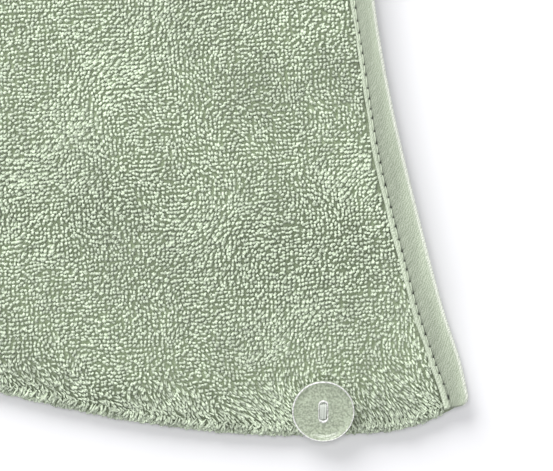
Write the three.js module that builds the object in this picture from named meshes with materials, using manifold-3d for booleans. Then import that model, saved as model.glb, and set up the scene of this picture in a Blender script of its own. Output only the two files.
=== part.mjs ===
import * as THREE from 'three'
import { mergeVertices } from 'three/addons/utils/BufferGeometryUtils.js'
import Module from 'manifold-3d'

const wasm = await Module()
wasm.setup()

// A hair turban towel lying flat. Two terry panels are seamed together round the nape, the crown
// side and the tail, and a bound face opening is left between them. A button at the nape takes
// the loop at the tail tip once the tail is twisted and laid back over the head.
// Lengths are in millimetres. X runs from the crown side to the face opening, Y from the nape
// to the tail tip, and Z is up. The outline is measured from the nape corner, where the bound
// edge meets the nape seam.

// Outline
const bodyLength = 640 // nape corner to tail tip
const hoodWidth = 258 // nape corner to the crown side where it is widest
const crownRise = 125 // height of that widest place above the nape corner
const napeBow = 11 // how far the nape seam bows out below the nape corner
const openingLength = 280 // nape corner to the upper end of the face opening
const openingFlare = 39 // how far the bound edge flares out to the nape corner
const tailWidth = 74
const tailInset = 76 // nape corner to the nearer edge of the tail
const tipRound = 14 // depth of the rounded tail tip

// Cloth
const terryWall = 3 // one panel with its pile
const boundEdge = 1.4 // the panel pressed inside the binding
const tapeWall = 0.7
const bindingWidth = 9
const lipWidth = 1.5 // raised inner edge of the binding, past its stitches
const stitchGroove = 0.25
const clearance = 0.3 // between pieces that touch
const rimRadius = 3.6 // roll of the turned seam
const rimHeight = 3.5
const creaseDepth = 0.5 // dip beside the turned seam
const seamAllowance = 8

// Pocket between the panels
const pocketHeight = 8
const pocketRun = 62 // how far in from the seam allowance the pocket takes to open
const mouthShare = 0.8 // how much of the pocket height the bound edge keeps
const mouthRun = 25
const waveHeight = 0.9 // gentle waves in the front panel

// Button
const buttonRadius = 10
const buttonThickness = 2.4
const buttonInset = 46 // nape corner to button, across
const buttonDrop = 2.5 // nape corner to button, down
const buttonTilt = 12 // degrees, towards the nape seam
const holeRadius = 1.25
const holeSpacing = 4.5
const slotWidth = 3.1
const slotLength = 7.3
const slotDepth = 0.35
const threadRadius = 0.5

// Tail loop
const loopReach = 36 // tail tip to the far end of the loop
const loopSpan = 17 // across the two legs, outside
const loopTapeWidth = 4.5
const loopTapeWall = 1.4

// Cloth levels above the surface it lies on
const boundStack = 2 * tapeWall + 2 * clearance + boundEdge
const frontBase = boundStack + clearance

// The bound edge from the nape corner up, in shares of the opening length and its flare
const openingRows = [
  { up: 0, inward: 0 },
  { up: 0.05, inward: 0.083 },
  { up: 0.115, inward: 0.238 },
  { up: 0.23, inward: 0.457 },
  { up: 0.345, inward: 0.65 },
  { up: 0.46, inward: 0.79 },
  { up: 0.64, inward: 0.93 },
  { up: 0.82, inward: 0.99 },
  { up: 1, inward: 1 },
]

// The nape seam from the nape corner, in shares of the hood width and the nape bow
const napeRows = [
  { across: 0, down: 0 },
  { across: 0.04, down: 0.49 },
  { across: 0.09, down: 0.85 },
  { across: 0.17, down: 0.97 },
  { across: 0.25, down: 0.98 },
  { across: 0.33, down: 0.83 },
  { across: 0.41, down: 0.59 },
  { across: 0.49, down: 0.23 },
  { across: 0.57, down: -0.21 },
]

// The round from the nape seam to the crown side, in shares of the hood width and crown rise
const roundRows = [
  { across: 0.66, up: 0.072 },
  { across: 0.75, up: 0.145 },
  { across: 0.83, up: 0.245 },
  { across: 0.9, up: 0.375 },
  { across: 0.95, up: 0.53 },
  { across: 0.985, up: 0.74 },
  { across: 1, up: 1 },
]

// The crown side up to the tail, in shares of its height and of its way in to the tail
const crownRows = [
  { up: 0.08, out: 0.985 },
  { up: 0.17, out: 0.94 },
  { up: 0.3, out: 0.83 },
  { up: 0.45, out: 0.65 },
  { up: 0.6, out: 0.44 },
  { up: 0.8, out: 0.19 },
  { up: 1, out: 0 },
]

// The tail's nearer edge above the opening, in shares of its height and of its way in
const tailRows = [
  { up: 0, inward: 0 },
  { up: 0.2, inward: 0.08 },
  { up: 0.4, inward: 0.28 },
  { up: 0.6, inward: 0.53 },
  { up: 0.8, inward: 0.78 },
  { up: 1, inward: 1 },
]

// The tail tip, in shares of the tail width and the depth of its round
const tipRows = [
  { across: 0, up: 0 },
  { across: 0.05, up: 0.58 },
  { across: 0.18, up: 0.92 },
  { across: 0.5, up: 1 },
  { across: 0.82, up: 0.92 },
  { across: 0.95, up: 0.58 },
  { across: 1, up: 0 },
]

// Waves of the front panel: heading in degrees, length as a share of the hood width, phase in
// turns, and share of the wave height
const waveRows = [
  { heading: 40, length: 0.62, phase: 0.1, share: 0.5 },
  { heading: -35, length: 0.43, phase: 0.45, share: 0.3 },
  { heading: 85, length: 0.81, phase: 0.7, share: 0.2 },
]

// Rings of mesh points in from the edge, as distances on the seamed and on the bound stretch
const thinWidth = bindingWidth + clearance
const stepWidth = clearance + 0.7 // where the panel thickens beside the binding
const outerRings = [
  { seam: 0, bound: 0 },
  { seam: 0.08 * rimRadius, bound: 0.33 * thinWidth },
  { seam: 0.37 * rimRadius, bound: 0.67 * thinWidth },
  { seam: rimRadius, bound: thinWidth },
  { seam: 0.75 * seamAllowance, bound: thinWidth + stepWidth },
  { seam: 1.3 * seamAllowance, bound: 1.5 * thinWidth },
  { seam: 3 * seamAllowance, bound: 3 * seamAllowance },
]
const innerRings = [
  { seam: 0, bound: 0 },
  { seam: 0.5 * seamAllowance, bound: thinWidth },
  { seam: 1.1 * seamAllowance, bound: thinWidth + stepWidth },
  { seam: 3 * seamAllowance, bound: 3 * seamAllowance },
]
const spineShares = [0.5, 1] // the rest of the way from the last ring to the spine

const napeCount = 12
const openingCount = 28
const tailCount = 12
const tipCount = 5
const napeSplit = 0.17 // share of the seamed side that belongs to the nape's nearer half
const buttonSides = 36
const threadSides = 8

const smooth = (share) => {
  const t = THREE.MathUtils.clamp(share, 0, 1)
  return t * t * (3 - 2 * t)
}

// Outline curves

const tailShoulder = bodyLength - tipRound
const tailFar = tailInset + tailWidth

const openingCurve = new THREE.SplineCurve(
  openingRows.map((row) => new THREE.Vector2(-row.inward * openingFlare, row.up * openingLength)),
)

const seamedCurve = new THREE.SplineCurve([
  ...napeRows.map((row) => new THREE.Vector2(-row.across * hoodWidth, -row.down * napeBow)),
  ...roundRows.map((row) => new THREE.Vector2(-row.across * hoodWidth, row.up * crownRise)),
  ...crownRows.map(
    (row) =>
      new THREE.Vector2(
        -THREE.MathUtils.lerp(tailFar, hoodWidth, row.out),
        THREE.MathUtils.lerp(crownRise, tailShoulder, row.up),
      ),
  ),
])

const tailCurve = new THREE.SplineCurve(
  tailRows.map(
    (row) =>
      new THREE.Vector2(
        -THREE.MathUtils.lerp(openingFlare, tailInset, row.inward),
        THREE.MathUtils.lerp(openingLength, tailShoulder, row.up),
      ),
  ),
)

const tipCurve = new THREE.SplineCurve(
  tipRows.map(
    (row) => new THREE.Vector2(-tailInset - row.across * tailWidth, tailShoulder + row.up * tipRound),
  ),
)

for (const curve of [openingCurve, seamedCurve, tailCurve, tipCurve]) curve.arcLengthDivisions = 600

// Points of a curve from one share of its length to another, without the first one
function stretch(curve, from, to, count) {
  return Array.from({ length: count }, (_, i) =>
    curve.getPointAt(THREE.MathUtils.lerp(from, to, (i + 1) / count)),
  )
}

// Distances from the edges

function distanceTo(line, x, y) {
  let nearest = Infinity
  for (let i = 1; i < line.length; i += 1) {
    const a = line[i - 1]
    const dx = line[i].x - a.x
    const dy = line[i].y - a.y
    const along = ((x - a.x) * dx + (y - a.y) * dy) / (dx * dx + dy * dy)
    const t = THREE.MathUtils.clamp(along, 0, 1)
    nearest = Math.min(nearest, Math.hypot(x - a.x - t * dx, y - a.y - t * dy))
  }
  return nearest
}

const fineStep = 4 // spacing of the points that distances are measured to
const fineLine = (curve, from, to) => {
  const count = Math.ceil((curve.getLength() * (to - from)) / fineStep)
  return [curve.getPointAt(from), ...stretch(curve, from, to, count)]
}

// The panels stay thin for a short way past both ends of the binding
const thinCorner = (thinWidth + 4) / seamedCurve.getLength()
const thinTop = 4 / tailCurve.getLength()
const boundLine = [
  ...fineLine(seamedCurve, 0, thinCorner).reverse(),
  ...fineLine(openingCurve, 0, 1).slice(1),
  ...fineLine(tailCurve, 0, thinTop).slice(1),
]
const seamLine = [
  ...fineLine(seamedCurve, thinCorner, 1),
  ...fineLine(tipCurve, 0, 1).reverse().slice(1),
  ...fineLine(tailCurve, thinTop, 1).reverse().slice(1),
]
const openingLine = fineLine(openingCurve, 0, 1)
const edgeLine = [...boundLine, ...seamLine.toReversed().slice(1)]

// Surfaces of the panels, as heights above the surface they lie on

function pocketLift(x, y) {
  const opened = smooth((distanceTo(seamLine, x, y) - seamAllowance) / pocketRun)
  const mouth = 1 - (1 - mouthShare) * Math.exp(-distanceTo(openingLine, x, y) / mouthRun)
  const wave = waveRows.reduce((sum, row) => {
    const heading = THREE.MathUtils.degToRad(row.heading)
    const along = (x * Math.cos(heading) + y * Math.sin(heading)) / (row.length * hoodWidth)
    return sum + row.share * Math.sin(2 * Math.PI * (along + row.phase))
  }, 0)
  return opened * (pocketHeight * mouth + waveHeight * wave)
}

// 1 on the thin stretch inside and beside the binding, 0 on the full cloth
function thinness(x, y) {
  const inside = 1 - smooth((distanceTo(boundLine, x, y) - thinWidth) / stepWidth)
  return inside * smooth(distanceTo(seamLine, x, y) / rimRadius)
}

const rollShare = (distance) => {
  const t = Math.max(1 - distance / rimRadius, 0)
  return Math.sqrt(1 - t * t)
}

const frontLower = (x, y) =>
  frontBase + pocketLift(x, y) + (tapeWall + clearance) * thinness(x, y)

function frontUpper(x, y) {
  const distance = distanceTo(seamLine, x, y)
  const past = Math.max(distance - rimRadius, 0) / rimRadius
  const plump = (rimHeight - terryWall) * Math.exp(-past * past)
  const crease = creaseDepth * Math.exp(-((distance / rimRadius - 1.8) ** 2) * 4)
  const cloth = rollShare(distance) * (terryWall + plump - crease)
  const pressed = tapeWall + clearance + boundEdge
  const thin = thinness(x, y)
  return frontBase + pocketLift(x, y) + Math.min(cloth, THREE.MathUtils.lerp(cloth, pressed, thin))
}

const backLower = (x, y) => {
  const roll = boundStack * (1 - rollShare(distanceTo(seamLine, x, y)))
  return Math.max(roll, (tapeWall + clearance) * thinness(x, y))
}

function backUpper(x, y) {
  const inside = smooth(distanceTo(seamLine, x, y) / seamAllowance - 1)
  const cloth = THREE.MathUtils.lerp(boundStack, terryWall, inside)
  return THREE.MathUtils.lerp(cloth, tapeWall + clearance + boundEdge, thinness(x, y))
}

// Columns of mesh points round the outline, each with the place on the spine that it runs to

const spineStart = new THREE.Vector2(-0.5 * hoodWidth, 0.85 * crownRise)
const spineEnd = new THREE.Vector2(-tailInset - tailWidth / 2, bodyLength - tailWidth / 2)

function makeColumns() {
  const bottom = seamedCurve.getPointAt(napeSplit)
  const openingPoints = [openingCurve.getPointAt(0), ...stretch(openingCurve, 0, 1, openingCount)]
  const nearSide = [
    bottom,
    ...stretch(seamedCurve, napeSplit, thinCorner, napeCount - 1),
    ...openingPoints,
    ...stretch(tailCurve, 0, 1, tailCount),
    ...stretch(tipCurve, 0, 0.5, tipCount),
  ]
  const farCount = napeCount + openingCount + tailCount
  const farSide = [
    bottom,
    ...stretch(seamedCurve, napeSplit, 1, farCount),
    ...stretch(tipCurve, 1, 0.5, tipCount),
  ]
  const toColumn = (point, i, side) => ({
    point,
    target: new THREE.Vector2().lerpVectors(spineStart, spineEnd, i / (side.length - 1)),
  })
  const near = nearSide.map(toColumn)
  const far = farSide.map(toColumn)
  for (let i = 0; i <= openingCount; i += 1) {
    const along = openingCurve.getTangentAt(i / openingCount)
    near[napeCount + i].inward = new THREE.Vector2(-along.y, along.x)
  }
  return [...near, ...far.slice(1, -1).reverse()]
}

// The point of a column that lies a given distance in from the edge: square to a bound edge as
// far as the binding reaches, and otherwise on the way to the spine
function pointInside(column, distance) {
  if (distance === 0) return column.point.clone()
  if (column.inward && distance <= thinWidth + stepWidth) {
    return column.point.clone().addScaledVector(column.inward, distance)
  }
  let low = 0
  let high = 1
  const point = new THREE.Vector2()
  for (let i = 0; i < 16; i += 1) {
    const share = (low + high) / 2
    point.lerpVectors(column.point, column.target, share)
    if (distanceTo(edgeLine, point.x, point.y) < distance) low = share
    else high = share
  }
  return point
}

function gridOf(columns, rings) {
  return columns.map((column) => {
    const near = rings.map((ring) => pointInside(column, column.inward ? ring.bound : ring.seam))
    const last = near[near.length - 1]
    const rest = spineShares.map((share) => last.clone().lerp(column.target, share))
    return [...near, ...rest]
  })
}

// One closed body from positions and triangles, with shared points merged
function closedBody(positions, triangles) {
  const loose = new THREE.BufferGeometry()
  loose.setAttribute('position', new THREE.Float32BufferAttribute(positions, 3))
  loose.setIndex(triangles)
  const merged = mergeVertices(loose, 1e-3)
  const index = []
  for (let i = 0; i < merged.index.count; i += 3) {
    const [a, b, c] = [0, 1, 2].map((k) => merged.index.getX(i + k))
    if (a !== b && b !== c && c !== a) index.push(a, b, c)
  }
  merged.setIndex(index)
  return merged
}

// A panel between two surfaces over the same columns, closed by a rim round its edge
function panelBody(columns, upper, lower) {
  const positions = []
  const triangles = []
  const addGrid = ({ rings, height }) =>
    gridOf(columns, rings).map((points) =>
      points.map((p) => positions.push(p.x, p.y, height(p.x, p.y)) / 3 - 1),
    )
  const addQuad = (a, b, c, d) => triangles.push(a, b, c, a, c, d)
  const top = addGrid(upper)
  const under = addGrid(lower)
  columns.forEach((_, i) => {
    const next = (i + 1) % columns.length
    for (let r = 1; r < top[i].length; r += 1) {
      addQuad(top[i][r - 1], top[next][r - 1], top[next][r], top[i][r])
    }
    for (let r = 1; r < under[i].length; r += 1) {
      addQuad(under[i][r], under[next][r], under[next][r - 1], under[i][r - 1])
    }
    addQuad(under[i][0], under[next][0], top[next][0], top[i][0])
  })
  return closedBody(positions, triangles)
}

// A body swept through stations: each station places the points of one closed section
function sweptBody(stations, section) {
  const outline = section.map(([across, up]) => new THREE.Vector2(across, up))
  if (THREE.ShapeUtils.isClockWise(outline)) outline.reverse()
  const positions = stations.flatMap((place) => outline.flatMap((p) => place(p.x, p.y)))
  const triangles = []
  const sides = outline.length
  for (let s = 1; s < stations.length; s += 1) {
    for (let i = 0; i < sides; i += 1) {
      const [a, b] = [(s - 1) * sides + i, (s - 1) * sides + ((i + 1) % sides)]
      triangles.push(a, b, b + sides, a, b + sides, a + sides)
    }
  }
  const last = (stations.length - 1) * sides
  for (const [a, b, c] of THREE.ShapeUtils.triangulateShape(outline, [])) {
    triangles.push(c, b, a, last + a, last + b, last + c)
  }
  return closedBody(positions, triangles)
}

// Bindings

// Section of the folded tape from the lip's lower corner round the outer fold, with the
// distance in from the panel's edge and the height above the tape's underside
function bindingSection() {
  const fold = clearance + tapeWall
  const half = boundStack / 2
  const bend = [-60, -30, 0, 30, 60].map((degrees) => {
    const angle = THREE.MathUtils.degToRad(degrees)
    return [-fold + half * 0.9 * (1 - Math.cos(angle)), half + half * Math.sin(angle)]
  })
  const stitches = bindingWidth - lipWidth
  return [
    [bindingWidth, 0],
    [half * 0.9 - fold, 0],
    ...bend,
    [half * 0.9 - fold, boundStack],
    [stitches - 1.2, boundStack],
    [stitches, boundStack - stitchGroove],
    [stitches + 0.4, boundStack],
    [bindingWidth, boundStack - 0.1],
    [bindingWidth, boundStack - tapeWall],
    [-clearance, boundStack - tapeWall],
    [-clearance, tapeWall],
    [bindingWidth, tapeWall],
  ]
}

// The tape along the opening edge, standing on a surface given by its height function
function bindingBody(baseHeight) {
  const stations = Array.from({ length: openingCount + 1 }, (_, i) => {
    const share = i / openingCount
    const point = openingCurve.getPointAt(share)
    const along = openingCurve.getTangentAt(share)
    return (across, up) => {
      const x = point.x - along.y * across
      const y = point.y + along.x * across
      return [x, y, baseHeight(x, y) + up]
    }
  })
  return sweptBody(stations, bindingSection())
}

// Button

const toManifold = (geometry) => {
  geometry.deleteAttribute('normal')
  geometry.deleteAttribute('uv')
  const merged = mergeVertices(geometry, 1e-4)
  return new wasm.Manifold(
    new wasm.Mesh({
      numProp: 3,
      vertProperties: Float32Array.from(merged.attributes.position.array),
      triVerts: Uint32Array.from(merged.index.array),
    }),
  )
}

const fromManifold = (solid) => {
  const mesh = solid.getMesh()
  const geometry = new THREE.BufferGeometry()
  geometry.setAttribute('position', new THREE.Float32BufferAttribute(mesh.vertProperties, 3))
  geometry.setIndex([...mesh.triVerts])
  return geometry
}

// Radius and height shares of the button's outline, from its underside over the raised rim to
// the dished middle
const buttonRows = [
  { radius: 0, height: 0 },
  { radius: 0.93, height: 0 },
  { radius: 1, height: 0.25 },
  { radius: 1, height: 0.65 },
  { radius: 0.96, height: 0.92 },
  { radius: 0.91, height: 1 },
  { radius: 0.85, height: 0.93 },
  { radius: 0.78, height: 0.72 },
  { radius: 0, height: 0.66 },
]
const buttonMiddle = buttonRows[buttonRows.length - 1].height * buttonThickness

function buttonBody() {
  const outline = buttonRows.map(
    (row) => new THREE.Vector2(row.radius * buttonRadius, row.height * buttonThickness),
  )
  const disc = new THREE.LatheGeometry(outline, buttonSides).rotateX(Math.PI / 2)
  const slotShape = new THREE.Shape()
  const slotReach = (slotLength - slotWidth) / 2
  slotShape.absarc(0, slotReach, slotWidth / 2, 0, Math.PI)
  slotShape.absarc(0, -slotReach, slotWidth / 2, Math.PI, 2 * Math.PI)
  const slot = new THREE.ExtrudeGeometry(slotShape, {
    depth: buttonThickness,
    bevelEnabled: false,
    curveSegments: 8,
  }).translate(0, 0, buttonMiddle - slotDepth)
  const holes = [-1, 1].map((side) =>
    new THREE.CylinderGeometry(holeRadius, holeRadius, 3 * buttonThickness, 16)
      .rotateX(Math.PI / 2)
      .translate(0, (side * holeSpacing) / 2, 0),
  )
  let solid = toManifold(disc)
  for (const cut of [slot, ...holes]) solid = solid.subtract(toManifold(cut))
  return fromManifold(solid)
}

// The thread comes up through one hole, lies across the middle and goes down the other
function threadBody() {
  const reach = holeSpacing / 2
  const top = buttonMiddle + threadRadius
  const path = new THREE.CatmullRomCurve3([
    new THREE.Vector3(0, -reach, threadRadius - clearance),
    new THREE.Vector3(0, -reach, 0.7 * buttonMiddle),
    new THREE.Vector3(0, -0.55 * reach, top),
    new THREE.Vector3(0, 0, top + 0.2 * threadRadius),
    new THREE.Vector3(0, 0.55 * reach, top),
    new THREE.Vector3(0, reach, 0.7 * buttonMiddle),
    new THREE.Vector3(0, reach, threadRadius - clearance),
  ])
  const section = new THREE.Shape(
    Array.from({ length: threadSides }, (_, i) => {
      const angle = (2 * Math.PI * i) / threadSides
      return new THREE.Vector2(threadRadius * Math.cos(angle), threadRadius * Math.sin(angle))
    }),
  )
  const tube = new THREE.ExtrudeGeometry(section, { steps: 20, extrudePath: path })
  tube.deleteAttribute('normal')
  tube.deleteAttribute('uv')
  return mergeVertices(tube, 1e-4)
}

// Where the tilted button comes down on the front panel
function buttonSeat() {
  const slope = Math.tan(THREE.MathUtils.degToRad(buttonTilt))
  let height = 0
  for (let ring = 0; ring <= 6; ring += 1) {
    for (let turn = 0; turn < 24; turn += 1) {
      const angle = (2 * Math.PI * turn) / 24
      const dx = (buttonRadius * ring * Math.cos(angle)) / 6
      const dy = (buttonRadius * ring * Math.sin(angle)) / 6
      const [x, y] = [dx - buttonInset, dy - buttonDrop]
      const onTowel = y > napeHeight(x)
      if (onTowel) height = Math.max(height, frontUpper(x, y) - slope * dy)
    }
  }
  return height + clearance + 0.1
}

// Height of the nape seam below a place on the hood
function napeHeight(x) {
  const line = seamLine.filter((point) => point.y < crownRise)
  const after = line.findIndex((point) => point.x < x)
  const [a, b] = [line[Math.max(after - 1, 0)], line[Math.max(after, 0)]]
  return a === b ? a.y : THREE.MathUtils.mapLinear(x, a.x, b.x, a.y, b.y)
}

// Tail loop: a flat tape that leaves the seam at the tail tip, comes down to the surface and
// turns back
function loopBody() {
  const radius = (loopSpan - loopTapeWidth) / 2
  const start = bodyLength + clearance
  const middle = -tailInset - tailWidth / 2
  const straight = bodyLength + loopReach - loopTapeWidth / 2 - radius
  const path = new THREE.Path()
  path.moveTo(middle + radius, start)
  path.lineTo(middle + radius, straight)
  path.absarc(middle, straight, radius, 0, Math.PI)
  path.lineTo(middle - radius, start)
  const seamLevel = boundStack + clearance / 2 - loopTapeWall / 2
  const drape = 0.45 * loopReach
  const count = 32
  const stations = Array.from({ length: count + 1 }, (_, i) => {
    const point = path.getPointAt(i / count)
    const along = path.getTangentAt(i / count)
    const level = seamLevel * (1 - smooth((point.y - start) / drape))
    return (across, up) => [point.x - along.y * across, point.y + along.x * across, level + up]
  })
  const half = loopTapeWidth / 2
  const soft = 0.3 * loopTapeWall
  const section = [
    [half - soft, 0],
    [soft - half, 0],
    [-half, soft],
    [-half, loopTapeWall - soft],
    [soft - half, loopTapeWall],
    [half - soft, loopTapeWall],
    [half, loopTapeWall - soft],
    [half, soft],
  ]
  return sweptBody(stations, section)
}

// Assembly

const terry = { color: 0xb4c4a7, roughness: 1, metalness: 0 }
const tape = { color: 0xc3cfb8, roughness: 0.85, metalness: 0 }
const clearResin = { color: 0xdfe6da, roughness: 0.15, metalness: 0, transparent: true, opacity: 0.45 }
const whiteThread = { color: 0xf1f3ee, roughness: 0.8, metalness: 0 }

function piece(name, geometry, look) {
  const mesh = new THREE.Mesh(geometry, new THREE.MeshStandardMaterial(look))
  mesh.name = name
  return mesh
}

const columns = makeColumns()
const towel = new THREE.Group()

towel.add(
  piece(
    'front_panel',
    panelBody(
      columns,
      { rings: outerRings, height: frontUpper },
      { rings: innerRings, height: frontLower },
    ),
    terry,
  ),
  piece(
    'back_panel',
    panelBody(
      columns,
      { rings: innerRings, height: backUpper },
      { rings: outerRings, height: backLower },
    ),
    terry,
  ),
  piece('front_binding', bindingBody((x, y) => frontBase + pocketLift(x, y)), tape),
  piece('back_binding', bindingBody(() => 0), tape),
  piece('tail_loop', loopBody(), tape),
)

const fastening = new THREE.Group()
fastening.add(
  piece('button', buttonBody(), clearResin),
  piece('button_thread', threadBody(), whiteThread),
)
fastening.position.set(-buttonInset, -buttonDrop, buttonSeat())
fastening.rotation.x = THREE.MathUtils.degToRad(buttonTilt)
towel.add(fastening)

// The origin is under the middle of the whole, on the surface it lies on
const bounds = new THREE.Box3().setFromObject(towel)
const centre = bounds.getCenter(new THREE.Vector3())
towel.position.set(-centre.x, -centre.y, -bounds.min.z)

export default towel
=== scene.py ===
from math import atan2, ceil, cos, hypot, pi, radians, sin
import bmesh
import bpy
import numpy as np
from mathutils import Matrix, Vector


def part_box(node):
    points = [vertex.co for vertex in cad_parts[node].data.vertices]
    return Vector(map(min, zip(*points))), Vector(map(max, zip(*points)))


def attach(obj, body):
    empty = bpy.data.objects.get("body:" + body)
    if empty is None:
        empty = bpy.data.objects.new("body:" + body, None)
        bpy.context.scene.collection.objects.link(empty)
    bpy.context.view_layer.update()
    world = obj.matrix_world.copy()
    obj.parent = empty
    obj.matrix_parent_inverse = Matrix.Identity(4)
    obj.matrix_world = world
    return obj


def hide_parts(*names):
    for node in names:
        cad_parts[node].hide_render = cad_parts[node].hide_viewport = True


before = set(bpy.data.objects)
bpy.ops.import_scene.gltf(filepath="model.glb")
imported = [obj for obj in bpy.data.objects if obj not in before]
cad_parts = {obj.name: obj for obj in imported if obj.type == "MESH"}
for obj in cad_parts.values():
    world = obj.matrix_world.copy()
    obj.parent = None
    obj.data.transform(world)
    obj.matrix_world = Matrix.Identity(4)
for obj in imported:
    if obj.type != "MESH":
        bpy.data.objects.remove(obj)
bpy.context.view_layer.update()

# A hair turban towel lying flat, seen from straight above its nape corner. Shapes are worked out
# in millimetres from the nape corner, where the bound edge meets the nape seam, with X towards
# the face opening, Y towards the tail and Z up, and are placed in metres when a mesh is made.
MM = 0.001

# Outline
BODY_LENGTH = 640
HOOD_WIDTH = 258
CROWN_RISE = 125
NAPE_BOW = 11
OPENING_LENGTH = 280
OPENING_FLARE = 39
TAIL_WIDTH = 74
TAIL_INSET = 76
TIP_ROUND = 14

# Cloth
TERRY_WALL = 3
BOUND_EDGE = 1.4
TAPE_WALL = 0.7
BINDING_WIDTH = 9
LIP_WIDTH = 1.6
CLEARANCE = 0.3
RIM_RADIUS = 3.6
RIM_HEIGHT = 3.5
CREASE_DEPTH = 0.5
SEAM_ALLOWANCE = 8

# Pocket between the panels
POCKET_HEIGHT = 8
POCKET_RUN = 62
MOUTH_SHARE = 0.8
MOUTH_RUN = 25
WAVE_HEIGHT = 0.9

# Button
BUTTON_RADIUS = 10
BUTTON_THICKNESS = 2.4
BUTTON_INSET = 46
BUTTON_DROP = 2.5
BUTTON_TILT = radians(12)
HOLE_RADIUS = 1.25
HOLE_SPACING = 4.5
SLOT_WIDTH = 3.1
SLOT_LENGTH = 7.3
SLOT_DEPTH = 0.35
THREAD_RADIUS = 0.24

WEAVE_SCALE = 0.42

# Tail loop
LOOP_REACH = 36
LOOP_SPAN = 17
LOOP_TAPE_WIDTH = 4.5
LOOP_TAPE_WALL = 1.4

# Pile
PILE_PITCH = 1.28  # from loop to loop in the photograph's frame
FAR_PITCH = 1.6  # from loop to loop beyond it
PILE_DEPTH = 1.6  # from the panel's outer surface down to the woven ground
YARN_RADIUS = 0.42
YARN_SPREAD = 1.15  # how much wider than high the yarn is pressed
BRUSHED_RADIUS = 0.27
LOOP_WIDTH = 0.72  # between the two feet of a loop
BRUSHED_WIDENING = 1.1

# The tape lies narrower further up the opening: its share of the full width, low and high
LOW_SHARE = 0.97
HIGH_SHARE = 0.73
NARROWING = (70, 115)  # heights between which it changes

# Stitches along the binding
STITCH_PITCH = 3.5
STITCH_RADIUS = 0.16
HOLE_DIP = 0.5
HOLE_SPREAD = 0.32
HOLE_SET = 0.15  # how far a hole lies to the band's side of the thread

# The photograph
MM_PER_PIXEL = 0.32
PHOTO_SIZE = (553, 471)
CORNER_PIXEL = (467, 402)  # the nape corner
FOCAL_LENGTH = 200
SENSOR_WIDTH = 36
VIEW_PLANE = 8  # height in mm at which the picture's scale holds

BOUND_STACK = 2 * TAPE_WALL + 2 * CLEARANCE + BOUND_EDGE
FRONT_BASE = BOUND_STACK + CLEARANCE
THIN_WIDTH = BINDING_WIDTH + CLEARANCE
STEP_WIDTH = CLEARANCE + 0.7
TAIL_SHOULDER = BODY_LENGTH - TIP_ROUND
TAIL_FAR = TAIL_INSET + TAIL_WIDTH

_, panel_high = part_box("front_panel")
CORNER = np.array([panel_high[0] / MM, panel_high[1] / MM - BODY_LENGTH, 0])

random = np.random.default_rng(7)


def smooth(share):
    t = np.clip(share, 0, 1)
    return t * t * (3 - 2 * t)


def lerp(a, b, share):
    return a + (b - a) * share


def heading_way(angle):
    """The direction in plan that a heading in radians points to."""
    return np.array([cos(angle), sin(angle)])


def left_of(way):
    """The directions in plan to the left of others."""
    return np.c_[-way[:, 1], way[:, 0]]


def bell(value, width):
    return np.exp(-((value / width) ** 2))


# Outline curves


def spline(points, steps=16):
    """A smooth line through the points, as a dense polyline."""
    p = np.array(points, float)
    ends = np.vstack([p[:1], p, p[-1:]])
    t = (np.arange(steps) / steps)[:, None]
    rows = []
    for p0, p1, p2, p3 in zip(ends, ends[1:], ends[2:], ends[3:]):
        v0, v1 = (p2 - p0) / 2, (p3 - p1) / 2
        bend = (2 * p1 - 2 * p2 + v0 + v1) * t**3 + (3 * p2 - 3 * p1 - 2 * v0 - v1) * t**2
        rows.append(bend + v0 * t + p1)
    return np.vstack([*rows, p[-1:]])


def lengths_along(line):
    return np.concatenate([[0], np.cumsum(np.linalg.norm(np.diff(line, axis=0), axis=1))])


def resample_at(line, places):
    """Points at given lengths along a line."""
    along = lengths_along(line)
    return np.column_stack([np.interp(places, along, line[:, k]) for k in range(line.shape[1])])


def resample(line, count, start=0.0, end=1.0):
    """Points at even lengths along a line, from one share of its length to another."""
    return resample_at(line, np.linspace(start, end, count) * lengths_along(line)[-1])


# Shares of the opening length and its flare
opening_rows = [
    (0, 0), (0.05, 0.083), (0.115, 0.238), (0.23, 0.457), (0.345, 0.65), (0.46, 0.79),
    (0.64, 0.93), (0.82, 0.99), (1, 1),
]
opening_line = spline([(-inward * OPENING_FLARE, up * OPENING_LENGTH) for up, inward in opening_rows])

# Shares of the hood width and the nape bow, then of the hood width and the crown rise, then of
# the crown side's height and its way in to the tail
nape_rows = [
    (0, 0), (0.04, 0.49), (0.09, 0.85), (0.17, 0.97), (0.25, 0.98), (0.33, 0.83), (0.41, 0.59),
    (0.49, 0.23), (0.57, -0.21),
]
round_rows = [
    (0.66, 0.072), (0.75, 0.145), (0.83, 0.245), (0.9, 0.375), (0.95, 0.53), (0.985, 0.74),
    (1, 1),
]
crown_rows = [
    (0.08, 0.985), (0.17, 0.94), (0.3, 0.83), (0.45, 0.65), (0.6, 0.44), (0.8, 0.19), (1, 0),
]
seamed_line = spline(
    [(-across * HOOD_WIDTH, -down * NAPE_BOW) for across, down in nape_rows]
    + [(-across * HOOD_WIDTH, up * CROWN_RISE) for across, up in round_rows]
    + [(-lerp(TAIL_FAR, HOOD_WIDTH, x), lerp(CROWN_RISE, TAIL_SHOULDER, y)) for y, x in crown_rows]
)

# Shares of the height and the way in of the tail's nearer edge
tail_rows = [(0, 0), (0.2, 0.08), (0.4, 0.28), (0.6, 0.53), (0.8, 0.78), (1, 1)]
tail_line = spline(
    [(-lerp(OPENING_FLARE, TAIL_INSET, x), lerp(OPENING_LENGTH, TAIL_SHOULDER, y)) for y, x in tail_rows]
)

# Shares of the tail width and the depth of its round
tip_rows = [(0, 0), (0.05, 0.58), (0.18, 0.92), (0.5, 1), (0.82, 0.92), (0.95, 0.58), (1, 0)]
tip_line = spline(
    [(-TAIL_INSET - across * TAIL_WIDTH, TAIL_SHOULDER + up * TIP_ROUND) for across, up in tip_rows]
)

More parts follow.
